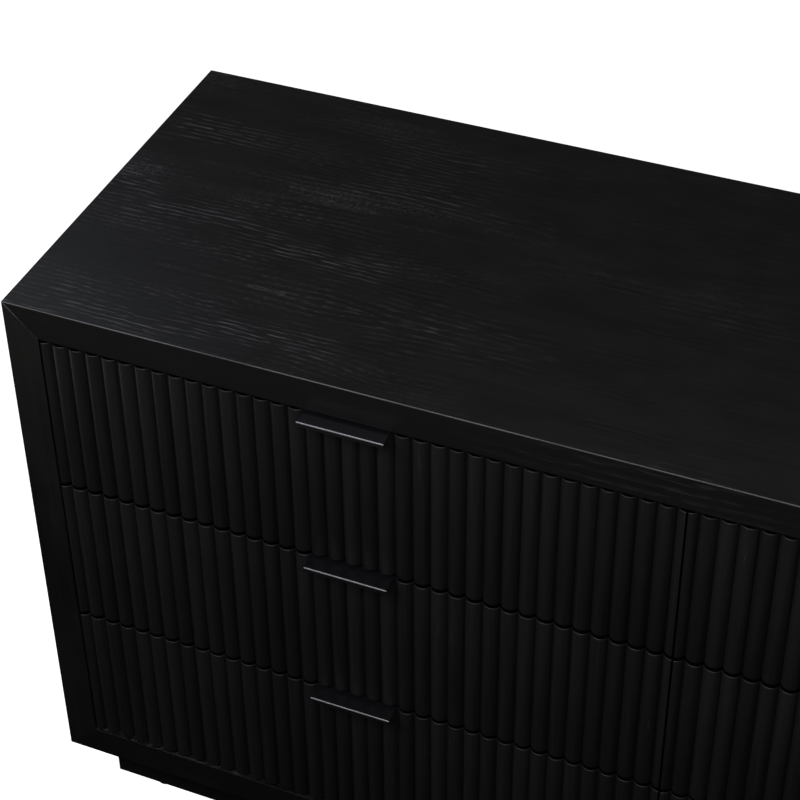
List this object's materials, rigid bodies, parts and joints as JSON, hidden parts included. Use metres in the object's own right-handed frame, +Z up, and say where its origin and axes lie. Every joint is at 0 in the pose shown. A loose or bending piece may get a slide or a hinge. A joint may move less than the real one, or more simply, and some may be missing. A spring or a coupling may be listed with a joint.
{
  "type": "sideboard buffet",
  "caption": "Low storage sideboard: mitred black wood case on a recessed plinth, with reeded full-extension drawers and slim metal edge pulls.",
  "frame": {"origin": "on the floor, under the centre of the whole piece (pulls included)", "axes": "+X along the width towards the right when seen from the front, +Y towards the back (drawers open towards -Y), +Z up"},
  "size_m": [1.5, 0.518, 0.78],
  "materials": {
    "case_veneer": "black stained open-pore veneer, satin",
    "reeded_front": "black stained, satin",
    "pull_metal": "black anodised, satin",
    "case_inside": "black stained, matt",
    "back_board": "black stained plywood, matt",
    "hardwood_splines": "raw",
    "plinth_paint": "black lacquer, matt",
    "glide_plastic": "matt",
    "slide_steel": "zinc plated",
    "drawer_box": "clear lacquered hardwood, satin",
    "drawer_bottom": "clear lacquered plywood, satin"
  },
  "bodies": {
    "case": {"top_panel": "case_veneer", "bottom_panel": "case_veneer", "right_side_panel": "case_veneer", "left_side_panel": "case_veneer", "mitre_splines": "hardwood_splines", "back_panel": "back_board", "centre_divider": "case_inside", "plinth_front": "plinth_paint", "plinth_back": "plinth_paint", "plinth_ends": "plinth_paint", "levelling_glides": "glide_plastic", "slide_outer_members": "slide_steel"},
    "bottom_left_drawer": {"bottom_left_drawer_front": "reeded_front", "bottom_left_drawer_pull": "pull_metal", "bottom_left_box_sides": "drawer_box", "bottom_left_box_front": "drawer_box", "bottom_left_box_back": "drawer_box", "bottom_left_box_bottom": "drawer_bottom", "bottom_left_slide_inner_members": "slide_steel"},
    "bottom_left_slide_middle": {"bottom_left_slide_middle_members": "slide_steel"},
    "bottom_right_drawer": {"bottom_right_drawer_front": "reeded_front", "bottom_right_drawer_pull": "pull_metal", "bottom_right_box_sides": "drawer_box", "bottom_right_box_front": "drawer_box", "bottom_right_box_back": "drawer_box", "bottom_right_box_bottom": "drawer_bottom", "bottom_right_slide_inner_members": "slide_steel"},
    "bottom_right_slide_middle": {"bottom_right_slide_middle_members": "slide_steel"},
    "middle_left_drawer": {"middle_left_drawer_front": "reeded_front", "middle_left_drawer_pull": "pull_metal", "middle_left_box_sides": "drawer_box", "middle_left_box_front": "drawer_box", "middle_left_box_back": "drawer_box", "middle_left_box_bottom": "drawer_bottom", "middle_left_slide_inner_members": "slide_steel"},
    "middle_left_slide_middle": {"middle_left_slide_middle_members": "slide_steel"},
    "middle_right_drawer": {"middle_right_drawer_front": "reeded_front", "middle_right_drawer_pull": "pull_metal", "middle_right_box_sides": "drawer_box", "middle_right_box_front": "drawer_box", "middle_right_box_back": "drawer_box", "middle_right_box_bottom": "drawer_bottom", "middle_right_slide_inner_members": "slide_steel"},
    "middle_right_slide_middle": {"middle_right_slide_middle_members": "slide_steel"},
    "top_left_drawer": {"top_left_drawer_front": "reeded_front", "top_left_drawer_pull": "pull_metal", "top_left_box_sides": "drawer_box", "top_left_box_front": "drawer_box", "top_left_box_back": "drawer_box", "top_left_box_bottom": "drawer_bottom", "top_left_slide_inner_members": "slide_steel"},
    "top_left_slide_middle": {"top_left_slide_middle_members": "slide_steel"},
    "top_right_drawer": {"top_right_drawer_front": "reeded_front", "top_right_drawer_pull": "pull_metal", "top_right_box_sides": "drawer_box", "top_right_box_front": "drawer_box", "top_right_box_back": "drawer_box", "top_right_box_bottom": "drawer_bottom", "top_right_slide_inner_members": "slide_steel"},
    "top_right_slide_middle": {"top_right_slide_middle_members": "slide_steel"}
  },
  "joints": [
    {"name": "bottom_left_drawer_slide", "type": "slide", "parent": "case", "child": "bottom_left_drawer", "axis": [0, -1, 0], "range_m": [0, 0.42]},
    {"name": "bottom_left_middle_slide", "type": "slide", "parent": "case", "child": "bottom_left_slide_middle", "axis": [0, -1, 0], "range_m": [0, 0.21]},
    {"name": "bottom_right_drawer_slide", "type": "slide", "parent": "case", "child": "bottom_right_drawer", "axis": [0, -1, 0], "range_m": [0, 0.42]},
    {"name": "bottom_right_middle_slide", "type": "slide", "parent": "case", "child": "bottom_right_slide_middle", "axis": [0, -1, 0], "range_m": [0, 0.21]},
    {"name": "middle_left_drawer_slide", "type": "slide", "parent": "case", "child": "middle_left_drawer", "axis": [0, -1, 0], "range_m": [0, 0.42]},
    {"name": "middle_left_middle_slide", "type": "slide", "parent": "case", "child": "middle_left_slide_middle", "axis": [0, -1, 0], "range_m": [0, 0.21]},
    {"name": "middle_right_drawer_slide", "type": "slide", "parent": "case", "child": "middle_right_drawer", "axis": [0, -1, 0], "range_m": [0, 0.42]},
    {"name": "middle_right_middle_slide", "type": "slide", "parent": "case", "child": "middle_right_slide_middle", "axis": [0, -1, 0], "range_m": [0, 0.21]},
    {"name": "top_left_drawer_slide", "type": "slide", "parent": "case", "child": "top_left_drawer", "axis": [0, -1, 0], "range_m": [0, 0.42]},
    {"name": "top_left_middle_slide", "type": "slide", "parent": "case", "child": "top_left_slide_middle", "axis": [0, -1, 0], "range_m": [0, 0.21]},
    {"name": "top_right_drawer_slide", "type": "slide", "parent": "case", "child": "top_right_drawer", "axis": [0, -1, 0], "range_m": [0, 0.42]},
    {"name": "top_right_middle_slide", "type": "slide", "parent": "case", "child": "top_right_slide_middle", "axis": [0, -1, 0], "range_m": [0, 0.21]}
  ],
  "couplings": [
    {"joint": "bottom_left_middle_slide", "follows": "bottom_left_drawer_slide", "ratio": 0.5},
    {"joint": "bottom_right_middle_slide", "follows": "bottom_right_drawer_slide", "ratio": 0.5},
    {"joint": "middle_left_middle_slide", "follows": "middle_left_drawer_slide", "ratio": 0.5},
    {"joint": "middle_right_middle_slide", "follows": "middle_right_drawer_slide", "ratio": 0.5},
    {"joint": "top_left_middle_slide", "follows": "top_left_drawer_slide", "ratio": 0.5},
    {"joint": "top_right_middle_slide", "follows": "top_right_drawer_slide", "ratio": 0.5}
  ]
}
